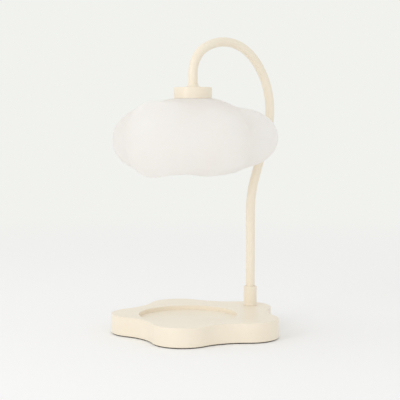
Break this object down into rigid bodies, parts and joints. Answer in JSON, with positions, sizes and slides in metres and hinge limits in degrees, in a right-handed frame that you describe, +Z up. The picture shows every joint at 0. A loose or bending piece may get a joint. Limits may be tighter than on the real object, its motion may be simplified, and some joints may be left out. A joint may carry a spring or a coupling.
{
  "type": "candle warmer lamp",
  "caption": "Table lamp that melts candle wax from above: flower-shaped base with a jar recess, arched swivelling stem and a cloud-shaped glass shade over a reflector bulb.",
  "frame": {"origin": "on the table, under the middle of the candle recess", "axes": "+Z up, +Y from the candle recess to the stem, +X to the right when looking along +Y"},
  "size_m": [0.181, 0.2025, 0.3152],
  "materials": {
    "painted_base": "satin cream powder coat",
    "painted_stem": "satin cream powder coat",
    "painted_cap": "satin cream powder coat",
    "frosted_glass": "white frosted, satin",
    "dark_foam": "closed-cell foam, matte",
    "plate_steel": "zinc-plated sheet",
    "cast_weight": "blackened casting",
    "turned_brass": "turned, bare",
    "spring_steel": "hardened, bare",
    "black_rubber": "moulded, matte",
    "silicone_white": "silicone, matte",
    "ceramic_white": "unglazed white ceramic",
    "holder_plastic": "heat-resistant moulding",
    "nylon_white": "natural nylon",
    "bulb_mirror": "dichroic reflector",
    "bulb_glass": "clear"
  },
  "bodies": {
    "base": {"base_body": "painted_base", "base_cover": "plate_steel", "foot_pad": "dark_foam", "counterweight": "cast_weight", "cover_screws": "plate_steel", "weight_screws": "plate_steel", "cord_grommet": "black_rubber", "terminal_block": "nylon_white", "terminal_clamps": "turned_brass", "base_lead": "silicone_white", "stem_collar": "painted_stem", "collar_nut": "plate_steel", "collar_washer": "plate_steel", "thrust_washer": "nylon_white"},
    "stem": {"swivel_spigot": "turned_brass", "friction_washer": "spring_steel", "retaining_clip": "spring_steel", "stop_pin": "spring_steel", "stem_tube": "painted_stem", "stem_lead": "silicone_white", "shade_cap": "painted_cap", "cap_ferrule": "painted_cap", "star_washer": "spring_steel", "holder_sleeve": "holder_plastic", "shade_gasket": "silicone_white", "shade_ring": "holder_plastic", "lamp_socket": "ceramic_white", "socket_contacts": "turned_brass", "socket_screws": "plate_steel", "glass_shade": "frosted_glass"},
    "bulb": {"bulb_base": "ceramic_white", "bulb_pins": "plate_steel", "bulb_reflector": "bulb_mirror", "bulb_lens": "bulb_glass", "bulb_capsule": "bulb_glass"}
  },
  "joints": [
    {"name": "stem_swivel", "type": "hinge", "parent": "base", "child": "stem", "pos_m": [0, 0.0885, 0.03], "axis": [0, 0, 1], "range_deg": [-45, 45]},
    {"name": "bulb_twist", "type": "hinge", "parent": "stem", "child": "bulb", "pos_m": [0, 0.007, 0.23], "axis": [0, 0, 1], "range_deg": [-25, 0]}
  ]
}
